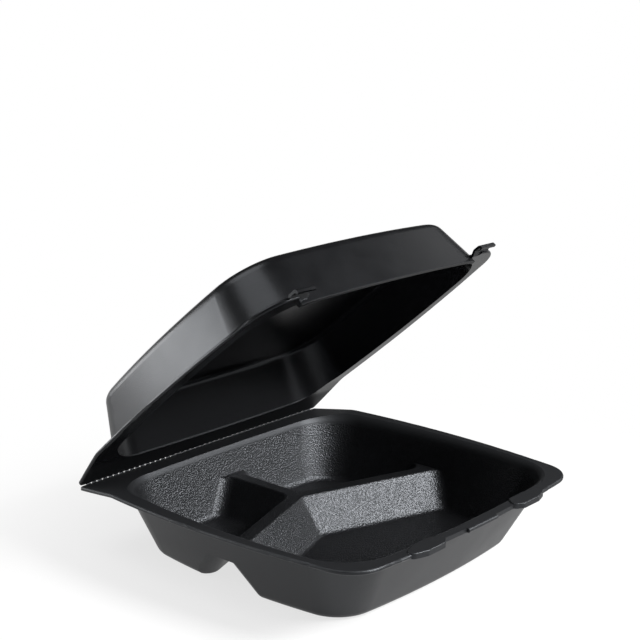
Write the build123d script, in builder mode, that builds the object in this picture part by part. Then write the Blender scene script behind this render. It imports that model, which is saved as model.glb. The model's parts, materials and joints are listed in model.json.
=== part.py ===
from build123d import *
import os

os.makedirs("parts", exist_ok=True)

# Overall sizes of the box, in millimetres
box_width = 241
front_reach = 120.5
crease_reach = 115.7
base_height = 47
lid_height = 36
foam = 2.7
skin = 2.9
seam = 0.3
open_angle = 39.3

# Rim outline seen from above
rim_front_pinch = 12
rim_back_pinch = 7.5
rim_front_bow = 7
rim_side_middle = 6
rim_front_corner = 24
rim_ear_corner = 12
rim_edge_round = 1.1
rim_shoulder = 8

# Back flange that falls towards the hinge crease
bend_reach = 80
crease_drop = 5.3
bend_round = 40

# Inside of the base tub, at the rim and how far it leans in towards the floor
tub_side_flange = 10.5
tub_front_flange = 10.5
tub_back = 97
tub_side_lean = 20
tub_front_lean = 24
tub_back_lean = 14
tub_side_bow = 8
tub_end_bow = 6
tub_corner = 34
tub_corner_lean = 10
floor_round = 5

# Dividers between the three compartments
divider_height = 26
divider_top_half = 4.5
divider_lean_share = 0.7
chevron_point = 29.8
chevron_slope_share = 0.345
pocket_corner = 9
divider_round = 1.8
pocket_overlap = 0.15

# Tabs on the front rim of the base, and the recesses beside them
tab_place_share = 0.4
tab_tip_half = 8
tab_near_half = 15
tab_far_half = 26
tab_inner_depth = 10.1
tab_overhang = 1.8
tab_rise = 0.8
tab_round = 3.5
tab_top_round = 0.6
recess_share = 0.12
recess_depth = 2.2

# Inside of the lid, at the rim and how far it leans in towards the top
lid_front_depth = 16.4
lid_side_lean = 8.5
lid_front_lean = 10
lid_back_lean = 12
lid_corner_lean = 6
lid_front_corner = 40
lid_front_corner_lean = 8
lid_round = 8
lid_lip = 2

# Front edge of the lid: cut away between two ears, each with a claw
ear_depth = 8.5
ear_share = 0.76
ear_slant = 9
cut_depth = 17.5
claw_place_share = 0.72
claw_half = 7.6
claw_thickness = 1.7
claw_anchor_depth = 32
claw_root_depth = 15.9
claw_knee_depth = 12.3
claw_tip_depth = 7.4
claw_nose_depth = 6.9
claw_rise = 1.9
claw_nose_rise = 0.5
claw_bend = 0.9

# Perforated hinge crease
slot_pitch = 4.6
slot_length = 2
slot_depth = 0.45
slot_margin = 6

half_width = box_width / 2
crease_height = base_height - crease_drop
edge_reach = crease_reach - seam / 2
lid_front = front_reach - lid_front_depth
tab_place = half_width * tab_place_share
ear_half = half_width * ear_share
claw_place = half_width * claw_place_share
slot_count = int((box_width - 2 * rim_back_pinch - 2 * slot_margin) / slot_pitch)
far = box_width
chevron_spread_share = (1 + chevron_slope_share**2) ** 0.5
flank_share = (1 + divider_lean_share**2) ** 0.5
slope_share = crease_drop / (crease_reach - bend_reach)
far_drop = slope_share * (far - bend_reach)
rim_level = base_height + seam


def outline(height, corners, middles, rounds):
    """Face with bowed sides, its corners given from the front left round to the back left."""
    with BuildSketch(Plane.XY.offset(height)) as face:
        with BuildLine():
            ThreePointArc(corners[0], middles[0], corners[1])
            ThreePointArc(corners[1], middles[1], corners[2])
            if middles[2] is None:
                Line(corners[2], corners[3])
            else:
                ThreePointArc(corners[2], middles[2], corners[3])
            ThreePointArc(corners[3], middles[3], corners[0])
        make_face()
        fillet(face.vertices().group_by(Axis.Y)[0], radius=rounds[0])
        if rounds[1] > 0:
            fillet(face.vertices().group_by(Axis.Y)[-1], radius=rounds[1])
    return face.sketch


def rim_face(setback):
    """Outer edge of the rim, with its front set back by a length."""
    front_x = half_width - rim_front_pinch
    front_y = rim_front_bow - front_reach + setback
    back_x = half_width - rim_back_pinch
    corners = [(-front_x, front_y), (front_x, front_y), (back_x, edge_reach), (-back_x, edge_reach)]
    middles = [(0, setback - front_reach), (half_width, rim_side_middle), None, (-half_width, rim_side_middle)]
    return outline(0, corners, middles, (rim_front_corner, 0))


def wall_face(height, share, leans, reaches, rounds, grow):
    """Wall outline at a height, leaned in by a share of its full lean and grown outwards."""
    side = reaches[0] - leans[0] * share + grow
    front = reaches[1] - leans[1] * share + grow
    back = reaches[2] - leans[2] * share + grow
    side_in = side - tub_side_bow
    front_in = front - tub_end_bow
    back_in = back - tub_end_bow / 2
    middle_y = (back - front) / 2
    corners = [(-side_in, -front_in), (side_in, -front_in), (side_in, back_in), (-side_in, back_in)]
    middles = [(0, -front), (side, middle_y), (0, back), (-side, middle_y)]
    return outline(height, corners, middles, (rounds[0] + grow, rounds[1] + grow))


def tub_face(height, grow):
    """Base wall at a height above the table."""
    share = (base_height - height) / base_height
    reaches = (half_width - tub_side_flange, front_reach - tub_front_flange, tub_back)
    leans = (tub_side_lean, tub_front_lean, tub_back_lean)
    corner = tub_corner - tub_corner_lean * share
    return wall_face(height, share, leans, reaches, (corner, corner), grow)


def lid_face(rise, grow):
    """Lid wall at a height above the rim, with the lid shut."""
    share = rise / lid_height
    reaches = (half_width - tub_side_flange, lid_front, tub_back)
    leans = (lid_side_lean, lid_front_lean, lid_back_lean)
    rounds = (lid_front_corner - lid_front_corner_lean * share, tub_corner - lid_corner_lean * share)
    return wall_face(base_height + rise, share, leans, reaches, rounds, grow)


def front_pocket(height, half, grow):
    """Front compartment at a height, cut off behind by the chevron divider."""
    back = chevron_point - half * chevron_spread_share
    side_back = back - far * chevron_slope_share
    with BuildSketch(Plane.XY.offset(height)) as face:
        add(tub_face(height, grow).moved(Location((0, 0, -height))))
        with BuildLine():
            Polyline((-far, -far), (far, -far), (far, side_back), (0, back), (-far, side_back), close=True)
        make_face(mode=Mode.INTERSECT)
        fillet(face.vertices().sort_by(Axis.Y)[-3:], radius=pocket_corner)
    return face.sketch


def back_pocket(height, half, grow):
    """Right-hand rear compartment at a height, beside the middle divider."""
    front = chevron_point + half * chevron_spread_share - half * chevron_slope_share
    side_front = front - far * chevron_slope_share
    with BuildSketch(Plane.XY.offset(height)) as face:
        add(tub_face(height, grow).moved(Location((0, 0, -height))))
        with BuildLine():
            Polyline((half, front), (half + far, side_front), (half + far, far), (half, far), close=True)
        make_face(mode=Mode.INTERSECT)
        near_middle = face.vertices().sort_by(Axis.X)[:2]
        near_wall = face.vertices().sort_by(Axis.Y)[:1]
        fillet(near_middle + near_wall, radius=pocket_corner)
    return face.sketch


def half_at(height):
    """Half the thickness of a divider at a height."""
    return divider_top_half + divider_lean_share * (divider_height - height)


def bent_band(low, high):
    """Band between two heights, seen from the side, that bends down behind the bend line."""
    with BuildSketch(Plane.YZ) as band:
        with BuildLine():
            Polyline(
                (-far, low),
                (bend_reach, low),
                (far, low - far_drop),
                (far, high - far_drop),
                (bend_reach, high),
                (-far, high),
                close=True,
            )
        make_face()
        fillet(band.vertices().group_by(Axis.X)[1], radius=bend_round)
    return band.sketch


def flange(low, setback):
    """Plate round the rim from a height up, its edges rounded except along the crease."""
    with BuildPart() as plate:
        extrude(bent_band(low, low + foam), amount=far, both=True)
        extrude(rim_face(setback), amount=base_height + far, mode=Mode.INTERSECT)
        sides = plate.faces().filter_by(lambda face: round(face.normal_at().Z) == 0).sort_by(Axis.Y)[:-1]
        fillet(sides.edges().filter_by(Axis.Z, reverse=True), radius=rim_edge_round)
        with BuildSketch():
            with Locations((0, edge_reach - far / 2)):
                RectangleRounded(box_width, far, rim_ear_corner)
        extrude(amount=base_height + far, mode=Mode.INTERSECT)
    return plate.part


# Outside of the base: a tub rounded under the floor, with its flange
base_flange = flange(base_height - foam, 0)
with BuildPart() as base_outside:
    loft(sections=[tub_face(0, skin), tub_face(base_height, skin)], ruled=True)
    fillet(base_outside.faces().sort_by(Axis.Z)[0].edges(), radius=floor_round + foam)
    extrude(bent_band(base_height - foam / 2, base_height + far), amount=far, both=True, mode=Mode.SUBTRACT)

# Hollow under the dividers, left between the three outer pockets
groove_height = divider_height - foam
groove_half = half_at(0) - foam * flank_share
groove_top_half = half_at(groove_height) - foam * flank_share
with BuildPart() as front_foot:
    loft(
        sections=[
            front_pocket(0, groove_half, skin + pocket_overlap),
            front_pocket(groove_height + foam, groove_top_half - divider_lean_share * foam, skin + pocket_overlap),
        ],
        ruled=True,
    )
    fillet(front_foot.faces().sort_by(Axis.Z)[0].edges(), radius=floor_round + foam)
with BuildPart() as right_foot:
    loft(
        sections=[
            back_pocket(0, groove_half, skin + pocket_overlap),
            back_pocket(groove_height + foam, groove_top_half - divider_lean_share * foam, skin + pocket_overlap),
        ],
        ruled=True,
    )
    fillet(right_foot.faces().sort_by(Axis.Z)[0].edges(), radius=floor_round + foam)
with BuildPart() as left_foot:
    mirror(right_foot.part, about=Plane.YZ)
with BuildPart() as groove:
    with Locations((0, 0, groove_height / 2 - foam)):
        Box(far + far, far + far, groove_height + 2 * foam)
    add(front_foot.part, mode=Mode.SUBTRACT)
    add(right_foot.part, mode=Mode.SUBTRACT)
    add(left_foot.part, mode=Mode.SUBTRACT)

# Inside of the base: three pockets below the dividers, one opening above them
with BuildPart() as front_hollow:
    loft(
        sections=[
            front_pocket(foam, half_at(foam), pocket_overlap),
            front_pocket(divider_height + foam, half_at(divider_height + foam), pocket_overlap),
        ],
        ruled=True,
    )
    fillet(front_hollow.faces().sort_by(Axis.Z)[0].edges(), radius=floor_round)
with BuildPart() as right_hollow:
    loft(
        sections=[
            back_pocket(foam, half_at(foam), pocket_overlap),
            back_pocket(divider_height + foam, half_at(divider_height + foam), pocket_overlap),
        ],
        ruled=True,
    )
    fillet(right_hollow.faces().sort_by(Axis.Z)[0].edges(), radius=floor_round)
with BuildPart() as left_hollow:
    mirror(right_hollow.part, about=Plane.YZ)
with BuildPart() as dividers:
    with Locations((0, 0, divider_height / 2)):
        Box(far + far, far + far, divider_height)
    add(front_hollow.part, mode=Mode.SUBTRACT)
    add(right_hollow.part, mode=Mode.SUBTRACT)
    add(left_hollow.part, mode=Mode.SUBTRACT)
    ridge = dividers.faces().sort_by(Axis.Z)[-1]
    fillet(ridge.inner_wires().edges(), radius=divider_round)
with BuildPart() as base_mould:
    with Locations((0, 0, (base_height + seam) / 2)):
        Box(far + far, far + far, base_height + seam)
    loft(sections=[tub_face(foam, 0), tub_face(base_height + foam, 0)], ruled=True, mode=Mode.SUBTRACT)
    mould_floor = base_mould.faces().filter_by(Plane.XY).sort_by(Axis.Z)[1]
    fillet(mould_floor.edges(), radius=floor_round)
    mould_top = base_mould.faces().filter_by(Plane.XY).sort_by(Axis.Z)[-1]
    fillet(mould_top.inner_wires().edges(), radius=rim_shoulder)
with BuildPart() as base_inside:
    with Locations((0, 0, (base_height + seam) / 2)):
        Box(far, far, base_height + seam)
    add(base_mould.part, mode=Mode.SUBTRACT)
    add(dividers.part, mode=Mode.SUBTRACT)

# Two tabs that widen the front rim, inwards and outwards
tab_far = tab_place + tab_far_half
tab_near_reach = front_reach - recess_depth - rim_front_bow * tab_place_share**2
tab_far_reach = front_reach - rim_front_bow * (tab_far / half_width) ** 2 - rim_edge_round
with BuildPart() as tabs:
    with BuildSketch(Plane.XY.offset(base_height - foam)) as tab:
        with BuildLine():
            Polyline(
                (tab_place - tab_tip_half, tab_inner_depth - front_reach),
                (tab_place - tab_near_half, -tab_near_reach),
                (tab_place - tab_tip_half, -tab_overhang - front_reach),
                (tab_place + tab_tip_half, -tab_overhang - front_reach),
                (tab_far, -tab_far_reach),
                (tab_place + tab_tip_half, tab_inner_depth - front_reach),
                close=True,
            )
        make_face()
        fillet(tab.vertices(), radius=tab_round)
        mirror(about=Plane.YZ)
    extrude(amount=foam + tab_rise)
    fillet(tabs.faces().group_by(Axis.Z)[-1].edges(), radius=tab_top_round)

# Recesses in the front rim, between its middle and the tabs
recess_start = half_width * recess_share
recess_reach = front_reach - recess_depth
with BuildPart() as recesses:
    with BuildSketch(Plane.XY.offset(base_height - 2 * foam)):
        with BuildLine():
            Polyline(
                (recess_start, -far),
                (recess_start, -recess_reach),
                (tab_place, -tab_near_reach),
                (tab_place, -far),
                close=True,
            )
        make_face()
        mirror(about=Plane.YZ)
    extrude(amount=4 * foam)

# Base: the tub and its flange, hollowed out, with the front rim trimmed and the crease perforated
with BuildPart() as base_tray:
    add(base_outside.part)
    add(base_flange)
    add(groove.part, mode=Mode.SUBTRACT)
    add(base_inside.part, mode=Mode.SUBTRACT)
    add(recesses.part, mode=Mode.SUBTRACT)
    add(tabs.part)
    with Locations((0, edge_reach, crease_height)):
        with GridLocations(slot_pitch, 0, slot_count, 1):
            Box(slot_length, 2 * slot_depth, 4 * foam, mode=Mode.SUBTRACT)

# Flange of the lid, shut: it lies on the base's flange and is cut away along the front
lid_plate = flange(rim_level, ear_depth)
with BuildPart() as lid_flange:
    add(lid_plate)
    with BuildSketch(Plane.XY):
        with BuildLine():
            Polyline(
                (-ear_half, -far),
                (-ear_half, cut_depth - ear_slant - front_reach),
                (-ear_half + ear_slant, cut_depth - front_reach),
                (ear_half - ear_slant, cut_depth - front_reach),
                (ear_half, cut_depth - ear_slant - front_reach),
                (ear_half, -far),
                close=True,
            )
        make_face()
    extrude(amount=base_height + far, mode=Mode.SUBTRACT)

# Space below the lid's rim, which only the lip along the front enters
with BuildPart() as below_rim:
    extrude(bent_band(-far, rim_level), amount=far, both=True)
    with Locations((0, -far, base_height)):
        Box(2 * (ear_half - ear_slant), 2 * (far - lid_front + tub_corner), far, mode=Mode.SUBTRACT)

# Claws that lift the inner ends of the ears and curl over the front rim
claw_level = rim_level + claw_thickness / 2
with BuildPart() as claws:
    for place in (-claw_place, claw_place):
        with BuildSketch(Plane.YZ.offset(place - claw_half)):
            with BuildLine():
                FilletPolyline(
                    (claw_anchor_depth - front_reach, claw_level),
                    (claw_root_depth - front_reach, claw_level),
                    (claw_knee_depth - front_reach, claw_level + claw_rise),
                    (claw_tip_depth - front_reach, claw_level + claw_rise),
                    (claw_nose_depth - front_reach, rim_level + claw_nose_rise),
                    radius=claw_bend,
                )
            trace(line_width=claw_thickness)
        extrude(amount=2 * claw_half)

# Lid: a tray turned upside down, hollowed out, then turned open about the crease
with BuildPart() as lid_shut:
    loft(sections=[lid_face(-lid_lip, skin), lid_face(lid_height, skin)], ruled=True)
    fillet(lid_shut.faces().sort_by(Axis.Z)[-1].edges(), radius=lid_round)
    add(below_rim.part, mode=Mode.SUBTRACT)
    add(lid_flange.part)
    add(claws.part)
with BuildPart() as lid_inside:
    loft(sections=[lid_face(-3 * lid_lip, 0), lid_face(lid_height - foam, 0)], ruled=True)
    fillet(lid_inside.faces().sort_by(Axis.Z)[-1].edges(), radius=lid_round - foam)
crease = Axis((0, crease_reach, crease_height), (-1, 0, 0))
with BuildPart() as lid:
    add(lid_shut.part)
    add(lid_inside.part, mode=Mode.SUBTRACT)
    with Locations((0, edge_reach, crease_height)):
        with GridLocations(slot_pitch, 0, slot_count, 1):
            Box(slot_length, 2 * slot_depth, 4 * foam, mode=Mode.SUBTRACT)
lid_open = lid.part.rotate(crease, open_angle)

base_tray.part.label = "base_tray"
lid_open.label = "lid"
export_step(base_tray.part, "parts/base_tray.step")
export_step(lid_open, "parts/lid.step")
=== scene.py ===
import json
import math

import bpy
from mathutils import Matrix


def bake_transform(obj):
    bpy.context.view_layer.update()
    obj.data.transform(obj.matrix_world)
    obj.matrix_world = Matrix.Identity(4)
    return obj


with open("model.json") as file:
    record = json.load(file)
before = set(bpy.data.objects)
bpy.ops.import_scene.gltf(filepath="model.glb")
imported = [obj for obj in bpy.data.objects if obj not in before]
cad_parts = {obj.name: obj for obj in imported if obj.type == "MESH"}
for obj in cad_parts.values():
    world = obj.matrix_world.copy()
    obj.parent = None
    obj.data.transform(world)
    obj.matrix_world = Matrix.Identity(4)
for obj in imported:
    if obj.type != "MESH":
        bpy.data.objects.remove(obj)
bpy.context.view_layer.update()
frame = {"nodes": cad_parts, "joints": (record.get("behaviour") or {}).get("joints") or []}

# The lid's hinge and how far the lid stands open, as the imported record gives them
HINGE = frame["joints"][0]
HINGE_Y = HINGE["pos_m"][1]
HINGE_Z = HINGE["pos_m"][2]
LID_ANGLE = math.radians(-HINGE["range_deg"][0])

# Outward direction of each half, and the level along it below which its flange lies
LID_UP = (0.0, math.sin(LID_ANGLE), math.cos(LID_ANGLE))
LID_FLANGE_REACH = 0.003
LID_RIM_LEVEL = HINGE_Y * LID_UP[1] + HINGE_Z * LID_UP[2] + LID_FLANGE_REACH
TRAY_DOWN = (0.0, 0.0, -1.0)
TRAY_RIM_LEVEL = -HINGE_Z

# Soft edges of the masks: across the turn of a face, and across the rim in metres
SIDE_FADE = 0.06
RIM_FADE = 0.0015

# Pressed foam beads with a finer grain on them, and a slow wave of the sheet
BEAD_SCALE = 1050.0
BEAD_SMOOTHNESS = 0.55
GRAIN_SCALE = 1600.0
GRAIN_DETAIL = 3.0
GRAIN_HEIGHT = 0.8
WAVE_SCALE = 38.0
WAVE_DETAIL = 2.0

# Black foam: colour and roughness follow the wave
FOAM_IOR = 1.59
# Specular tint: a painted cool cast on all the foam's reflections, standing in for the bluish
# light that its walls mirror
REFLECTION_COOL_CAST = (0.90, 0.94, 1.0, 1.0)
FOAM_TONES = ((0.3, (0.0028, 0.0029, 0.0034, 1.0)), (0.75, (0.0046, 0.0047, 0.0054, 1.0)))
WAVE_RANGE = (0.2, 0.8)
OUTSIDE_ROUGHNESS = (0.27, 0.36)
OUTSIDE_SHEEN = 0.5
OUTSIDE_GRAIN = 0.08
RIM_ROUGHNESS = 0.55
GRAIN_DEPTH = 0.0004
WHOLE = (0.0, 1.0)

# Perforated crease: foam webs left between the slots, torn shorter at the left end
WEB_PITCH = 0.0046
WEB_COUNT = 47
TORN_WEBS = 16
TORN_WEB_LENGTH = 0.0038
WHOLE_WEB_LENGTH = 0.0044
WEB_THICKNESS = 0.00022
WEB_HALF_WIDTH = 0.00045
WEB_CUTS = 2

# Paper floor: how far from the box it turns white to the camera, and its share of white there
FLOOR_SIZE = 40.0
FLOOR_LEVEL = -0.0002
PAPER_COLOUR = (0.93, 0.93, 0.93, 1.0)
PAPER_ROUGHNESS = 0.8
PAPER_SHEEN = 0.2
SHADOW_REACH = (0.10, 0.34)
WHITE_SHARE = (0.72, 1.0)
MIRRORED_PAPER = 0.51

# Studio: height of the backdrop, as the upward part of a direction, and the room's light
BACKDROP_HEIGHT = (0.0, 0.10)
ROOM_LIGHT = (0.7, 0.04)

# Soft lights: name, place, the point it looks at, width and height, watts
SOFTBOXES = (
    ("front_softbox", (0.44, -0.97, 0.88), (0.0, 0.0, 0.06), (0.6, 0.4), 33.0),
    ("back_left_softbox", (-0.62, 0.90, 0.17), (-0.10, 0.0, 0.10), (1.0, 0.32), 4.7),
    ("top_softbox", (-0.55, 0.45, 1.45), (0.0, 0.0, 0.0), (1.2, 1.2), 8.0),
    ("right_softbox", (1.15, 0.02, 0.80), (0.0, 0.0, 0.14), (0.5, 0.3), 0.3),
)

# Camera of the photograph
CAMERA_PLACE = (-0.6317, -0.5517, 0.3555)
CAMERA_TILT = math.radians(76.25)
CAMERA_TURN = math.radians(-48.38)
CAMERA_LENS_MM = 77.14
CAMERA_SENSOR_MM = 36.0
CAMERA_CLIP = (0.05, 60.0)


def clear_selection():
    """Leaves nothing selected, because an operator acts on all that is."""
    if bpy.context.mode != "OBJECT":
        bpy.ops.object.mode_set(mode="OBJECT")
    bpy.ops.object.select_all(action="DESELECT")


def add_node(tree, kind, settings=None, values=None, links=None):
    """Adds a node, sets its properties and inputs, and links what feeds it."""
    node = tree.nodes.new(kind)
    for name, value in (settings or {}).items():
        setattr(node, name, value)
    for socket, value in (values or {}).items():
        node.inputs[socket].default_value = value
    for socket, source in (links or {}).items():
        tree.links.new(source, node.inputs[socket])
    return node


def combine(tree, operation, first, second, clamp=False):
    """Puts two values together by one sum."""
    settings = {"operation": operation, "use_clamp": clamp}
    return add_node(tree, "ShaderNodeMath", settings, links={0: first, 1: second}).outputs[0]


def along(tree, vector, direction):
    """Says how far a vector reaches along a direction."""
    settings = {"operation": "DOT_PRODUCT"}
    links = {0: vector, 1: direction}
    return add_node(tree, "ShaderNodeVectorMath", settings, links=links).outputs["Value"]


def remap(tree, value, source, target, smooth=False):
    """Carries a value from one range over to another."""
    settings = {"interpolation_type": "SMOOTHSTEP" if smooth else "LINEAR"}
    ends = ("From Min", "From Max", "To Min", "To Max")
    values = dict(zip(ends, (*source, *target)))
    node = add_node(tree, "ShaderNodeMapRange", settings, values, {"Value": value})
    return node.outputs["Result"]


def blend_values(tree, factor, first, second):
    """Goes from a linked value to a set one."""
    links = {"Factor": factor, "A": first}
    return add_node(tree, "ShaderNodeMix", values={"B": second}, links=links).outputs["Result"]


def new_group(name, vectors, floats, outputs):
    """Starts a node group: the group, what comes in and what goes out."""
    group = bpy.data.node_groups.new(name, "ShaderNodeTree")
    socket = group.interface.new_socket
    for label in vectors:
        socket(label, in_out="INPUT", socket_type="NodeSocketVector")
    for label in floats:
        socket(label, in_out="INPUT", socket_type="NodeSocketFloat")
    for label in outputs:
        socket(label, in_out="OUTPUT", socket_type="NodeSocketFloat")
    start = group.nodes.new("NodeGroupInput")
    end = group.nodes.new("NodeGroupOutput")
    return group, start.outputs, end.inputs


def moulded_cells_group():
    """Fine pebble of pressed foam beads, over a slow wave of the sheet."""
    group, start, end = new_group("moulded_cells", ["Coordinates"], [], ["Height", "Wave"])
    place = {"Vector": start["Coordinates"]}
    beads = add_node(
        group,
        "ShaderNodeTexVoronoi",
        {"feature": "SMOOTH_F1"},
        {"Scale": BEAD_SCALE, "Smoothness": BEAD_SMOOTHNESS},
        place,
    )
    grain_values = {"Scale": GRAIN_SCALE, "Detail": GRAIN_DETAIL}
    grain = add_node(group, "ShaderNodeTexNoise", values=grain_values, links=place)
    wave_values = {"Scale": WAVE_SCALE, "Detail": WAVE_DETAIL}
    wave = add_node(group, "ShaderNodeTexNoise", values=wave_values, links=place)
    height = add_node(
        group,
        "ShaderNodeMath",
        {"operation": "MULTIPLY_ADD"},
        {1: GRAIN_HEIGHT},
        {0: grain.outputs["Fac"], 2: beads.outputs["Distance"]},
    )
    group.links.new(height.outputs[0], end["Height"])
    group.links.new(wave.outputs["Fac"], end["Wave"])
    return group


def pressed_side_group():
    """Masks of the side that faces the food, by the way a face looks, and of the flange."""
    group, start, end = new_group(
        "pressed_side",
        ["Normal", "Coordinates", "Outward"],
        ["Rim Level", "Both Sides"],
        ["Inside", "Rim"],
    )
    facing = along(group, start["Normal"], start["Outward"])
    inside = remap(group, facing, (SIDE_FADE, -SIDE_FADE), WHOLE, smooth=True)
    level = along(group, start["Coordinates"], start["Outward"])
    below = combine(group, "SUBTRACT", start["Rim Level"], level)
    flange = remap(group, below, (-RIM_FADE, 0.0), WHOLE, smooth=True)
    sides = combine(group, "MAXIMUM", inside, start["Both Sides"])
    group.links.new(inside, end["Inside"])
    group.links.new(combine(group, "MULTIPLY", sides, flange), end["Rim"])
    return group


MOULDED_CELLS = moulded_cells_group()
PRESSED_SIDE = pressed_side_group()


def black_foam(name, outward, rim_level, rim_sides, grain, roughness, inside_sheen_and_shade):
    """Black moulded foam: satin skin outside, and inside a grain and gloss of its own, with a
    sheen level that can be set low as painted shade.
    """
    material = bpy.data.materials.new(name)
    material.use_nodes = True
    tree = material.node_tree
    skin = tree.nodes["Principled BSDF"].inputs
    skin["IOR"].default_value = FOAM_IOR
    # Reflections tinted blue: painted colour of the reflected light
    skin["Specular Tint"].default_value = REFLECTION_COOL_CAST

    place = tree.nodes.new("ShaderNodeTexCoord").outputs
    cells = add_node(
        tree,
        "ShaderNodeGroup",
        {"node_tree": MOULDED_CELLS},
        links={"Coordinates": place["Object"]},
    ).outputs
    side = add_node(
        tree,
        "ShaderNodeGroup",
        {"node_tree": PRESSED_SIDE},
        {"Outward": outward, "Rim Level": rim_level, "Both Sides": rim_sides},
        {"Coordinates": place["Object"], "Normal": place["Normal"]},
    ).outputs

    tone = add_node(tree, "ShaderNodeValToRGB", links={"Fac": cells["Wave"]})
    for stop, (position, colour) in zip(tone.color_ramp.elements, FOAM_TONES):
        stop.position = position
        stop.color = colour
    tree.links.new(tone.outputs["Color"], skin["Base Color"])

    satin = remap(tree, cells["Wave"], WAVE_RANGE, OUTSIDE_ROUGHNESS)
    walls = blend_values(tree, side["Inside"], satin, roughness)
    tree.links.new(blend_values(tree, side["Rim"], walls, RIM_ROUGHNESS), skin["Roughness"])
    # Specular level: the outside sheen, blended to the inside's own value; a low inside value
    # is painted shade
    sheen_and_shade = remap(tree, side["Inside"], WHOLE, (OUTSIDE_SHEEN, inside_sheen_and_shade))
    tree.links.new(sheen_and_shade, skin["Specular IOR Level"])

    grainy = combine(tree, "SUBTRACT", side["Inside"], side["Rim"], clamp=True)
    pebble = add_node(
        tree,
        "ShaderNodeBump",
        values={"Distance": GRAIN_DEPTH},
        links={
            "Strength": remap(tree, grainy, WHOLE, (OUTSIDE_GRAIN, grain)),
            "Height": cells["Height"],
        },
    )
    tree.links.new(pebble.outputs["Normal"], skin["Normal"])
    return material


def dress(node, material):
    """Gives a moulded half its foam."""
    slots = frame["nodes"][node].data.materials
    slots.clear()
    slots.append(material)


TRAY_FOAM = black_foam(
    "tray_foam", TRAY_DOWN, TRAY_RIM_LEVEL, rim_sides=0.0, grain=0.74, roughness=0.4, inside_sheen_and_shade=0.55
)
# The lid's inside gets about half the tray's sheen: painted shade, dimming the lid's inside
# where it lies in its own shadow
LID_FOAM = black_foam(
    "lid_foam", LID_UP, LID_RIM_LEVEL, rim_sides=1.0, grain=0.03, roughness=0.22, inside_sheen_and_shade=0.28
)
dress("base_tray", TRAY_FOAM)
dress("lid", LID_FOAM)


def crease_webs(name, first, count, length):
    """Thin foam webs that join tray and lid between the slots of the crease."""
    clear_selection()
    start_x = (first - (WEB_COUNT - 1) / 2) * WEB_PITCH
    bpy.ops.mesh.primitive_cube_add(size=1.0, location=(start_x, HINGE_Y, HINGE_Z))
    webs = bpy.context.active_object
    webs.name = name
    lean = LID_ANGLE / 2
    webs.scale = (length, WEB_THICKNESS, 2 * WEB_HALF_WIDTH)
    webs.rotation_euler = (-lean, 0.0, 0.0)
    bpy.ops.object.transform_apply(location=True, rotation=True, scale=True)
    bpy.ops.object.mode_set(mode="EDIT")
    bpy.ops.mesh.select_all(action="SELECT")
    bpy.ops.mesh.subdivide(number_cuts=WEB_CUTS)
    bpy.ops.object.mode_set(mode="OBJECT")
    row = webs.modifiers.new("row", "ARRAY")
    row.use_relative_offset = False
    row.use_constant_offset = True
    row.constant_offset_displace = (WEB_PITCH, 0.0, 0.0)
    row.count = count
    bpy.ops.object.modifier_apply(modifier="row")
    webs.data.materials.append(TRAY_FOAM)
    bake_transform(webs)


crease_webs("torn_crease_webs", 0, TORN_WEBS, TORN_WEB_LENGTH)
crease_webs("whole_crease_webs", TORN_WEBS, WEB_COUNT - TORN_WEBS, WHOLE_WEB_LENGTH)


def paper_floor():
    """Pale sweep that the box stands on, white to the camera further out."""
    clear_selection()
    bpy.ops.mesh.primitive_plane_add(size=FLOOR_SIZE, location=(0.0, 0.0, FLOOR_LEVEL))
    floor = bpy.context.active_object
    floor.name = "paper_floor"
    bpy.ops.object.transform_apply(location=True)
    material = bpy.data.materials.new("white_paper")
    material.use_nodes = True
    tree = material.node_tree
    paper = tree.nodes["Principled BSDF"]
    paper.inputs["Base Color"].default_value = PAPER_COLOUR
    paper.inputs["Roughness"].default_value = PAPER_ROUGHNESS
    paper.inputs["Specular IOR Level"].default_value = PAPER_SHEEN

    place = tree.nodes.new("ShaderNodeTexCoord").outputs["Object"]
    reach = add_node(tree, "ShaderNodeVectorMath", {"operation": "LENGTH"}, links={0: place})
    away = remap(tree, reach.outputs["Value"], SHADOW_REACH, WHITE_SHARE, smooth=True)
    path = tree.nodes.new("ShaderNodeLightPath").outputs
    seen = combine(tree, "MAXIMUM", path["Is Camera Ray"], path["Is Transmission Ray"])
    mirrored = combine(tree, "MAXIMUM", path["Is Glossy Ray"], seen)
    share = combine(tree, "MULTIPLY", mirrored, away)
    strength = remap(tree, path["Is Glossy Ray"], WHOLE, (1.0, MIRRORED_PAPER))
    white = add_node(tree, "ShaderNodeEmission", links={"Strength": strength})
    surface = add_node(
        tree,
        "ShaderNodeMixShader",
        links={"Fac": share, 1: paper.outputs["BSDF"], 2: white.outputs["Emission"]},
    )
    output = tree.nodes["Material Output"].inputs["Surface"]
    tree.links.new(surface.outputs["Shader"], output)
    floor.data.materials.append(material)


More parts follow.
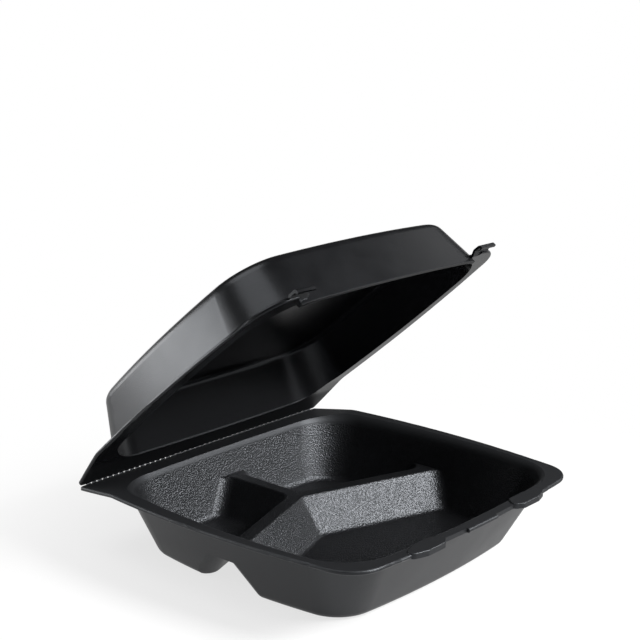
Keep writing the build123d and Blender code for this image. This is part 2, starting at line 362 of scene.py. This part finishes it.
def studio_world():
    """White to the camera; in reflections, a white backdrop low down and a dim room above."""
    world = bpy.data.worlds.new("studio")
    bpy.context.scene.world = world
    world.use_nodes = True
    tree = world.node_tree
    place = tree.nodes.new("ShaderNodeTexCoord").outputs["Generated"]
    upward = add_node(tree, "ShaderNodeSeparateXYZ", links={"Vector": place}).outputs["Z"]
    room = remap(tree, upward, BACKDROP_HEIGHT, ROOM_LIGHT, smooth=True)
    backdrop = remap(tree, upward, BACKDROP_HEIGHT, (1.0, 0.0), smooth=True)
    path = tree.nodes.new("ShaderNodeLightPath").outputs
    seen = combine(tree, "MAXIMUM", path["Is Camera Ray"], path["Is Transmission Ray"])
    mirrored = combine(tree, "MULTIPLY", path["Is Glossy Ray"], backdrop)
    white = combine(tree, "MAXIMUM", seen, mirrored)
    level = combine(tree, "MAXIMUM", white, room)
    tree.links.new(level, tree.nodes["Background"].inputs["Color"])


def softbox(name, place, aim, size, watts):
    """Oblong soft light that looks at a point."""
    light = bpy.data.lights.new(name, "AREA")
    light.shape = "RECTANGLE"
    light.size, light.size_y = size
    light.energy = watts
    lamp = bpy.data.objects.new(name, light)
    bpy.context.scene.collection.objects.link(lamp)
    lamp.location = place
    away = [aim[i] - place[i] for i in range(3)]
    lamp.rotation_euler = (
        math.atan2(math.hypot(away[0], away[1]), -away[2]),
        0.0,
        math.atan2(away[1], away[0]) - math.pi / 2,
    )


def photo_camera():
    """Camera where the photograph was taken from."""
    data = bpy.data.cameras.new("photo_camera")
    data.sensor_width = CAMERA_SENSOR_MM
    data.lens = CAMERA_LENS_MM
    data.clip_start, data.clip_end = CAMERA_CLIP
    camera = bpy.data.objects.new("photo_camera", data)
    bpy.context.scene.collection.objects.link(camera)
    camera.location = CAMERA_PLACE
    camera.rotation_euler = (CAMERA_TILT, 0.0, CAMERA_TURN)
    bpy.context.scene.camera = camera


paper_floor()
studio_world()
for lamp_values in SOFTBOXES:
    softbox(*lamp_values)
photo_camera()
bpy.context.scene.view_settings.view_transform = "Standard"
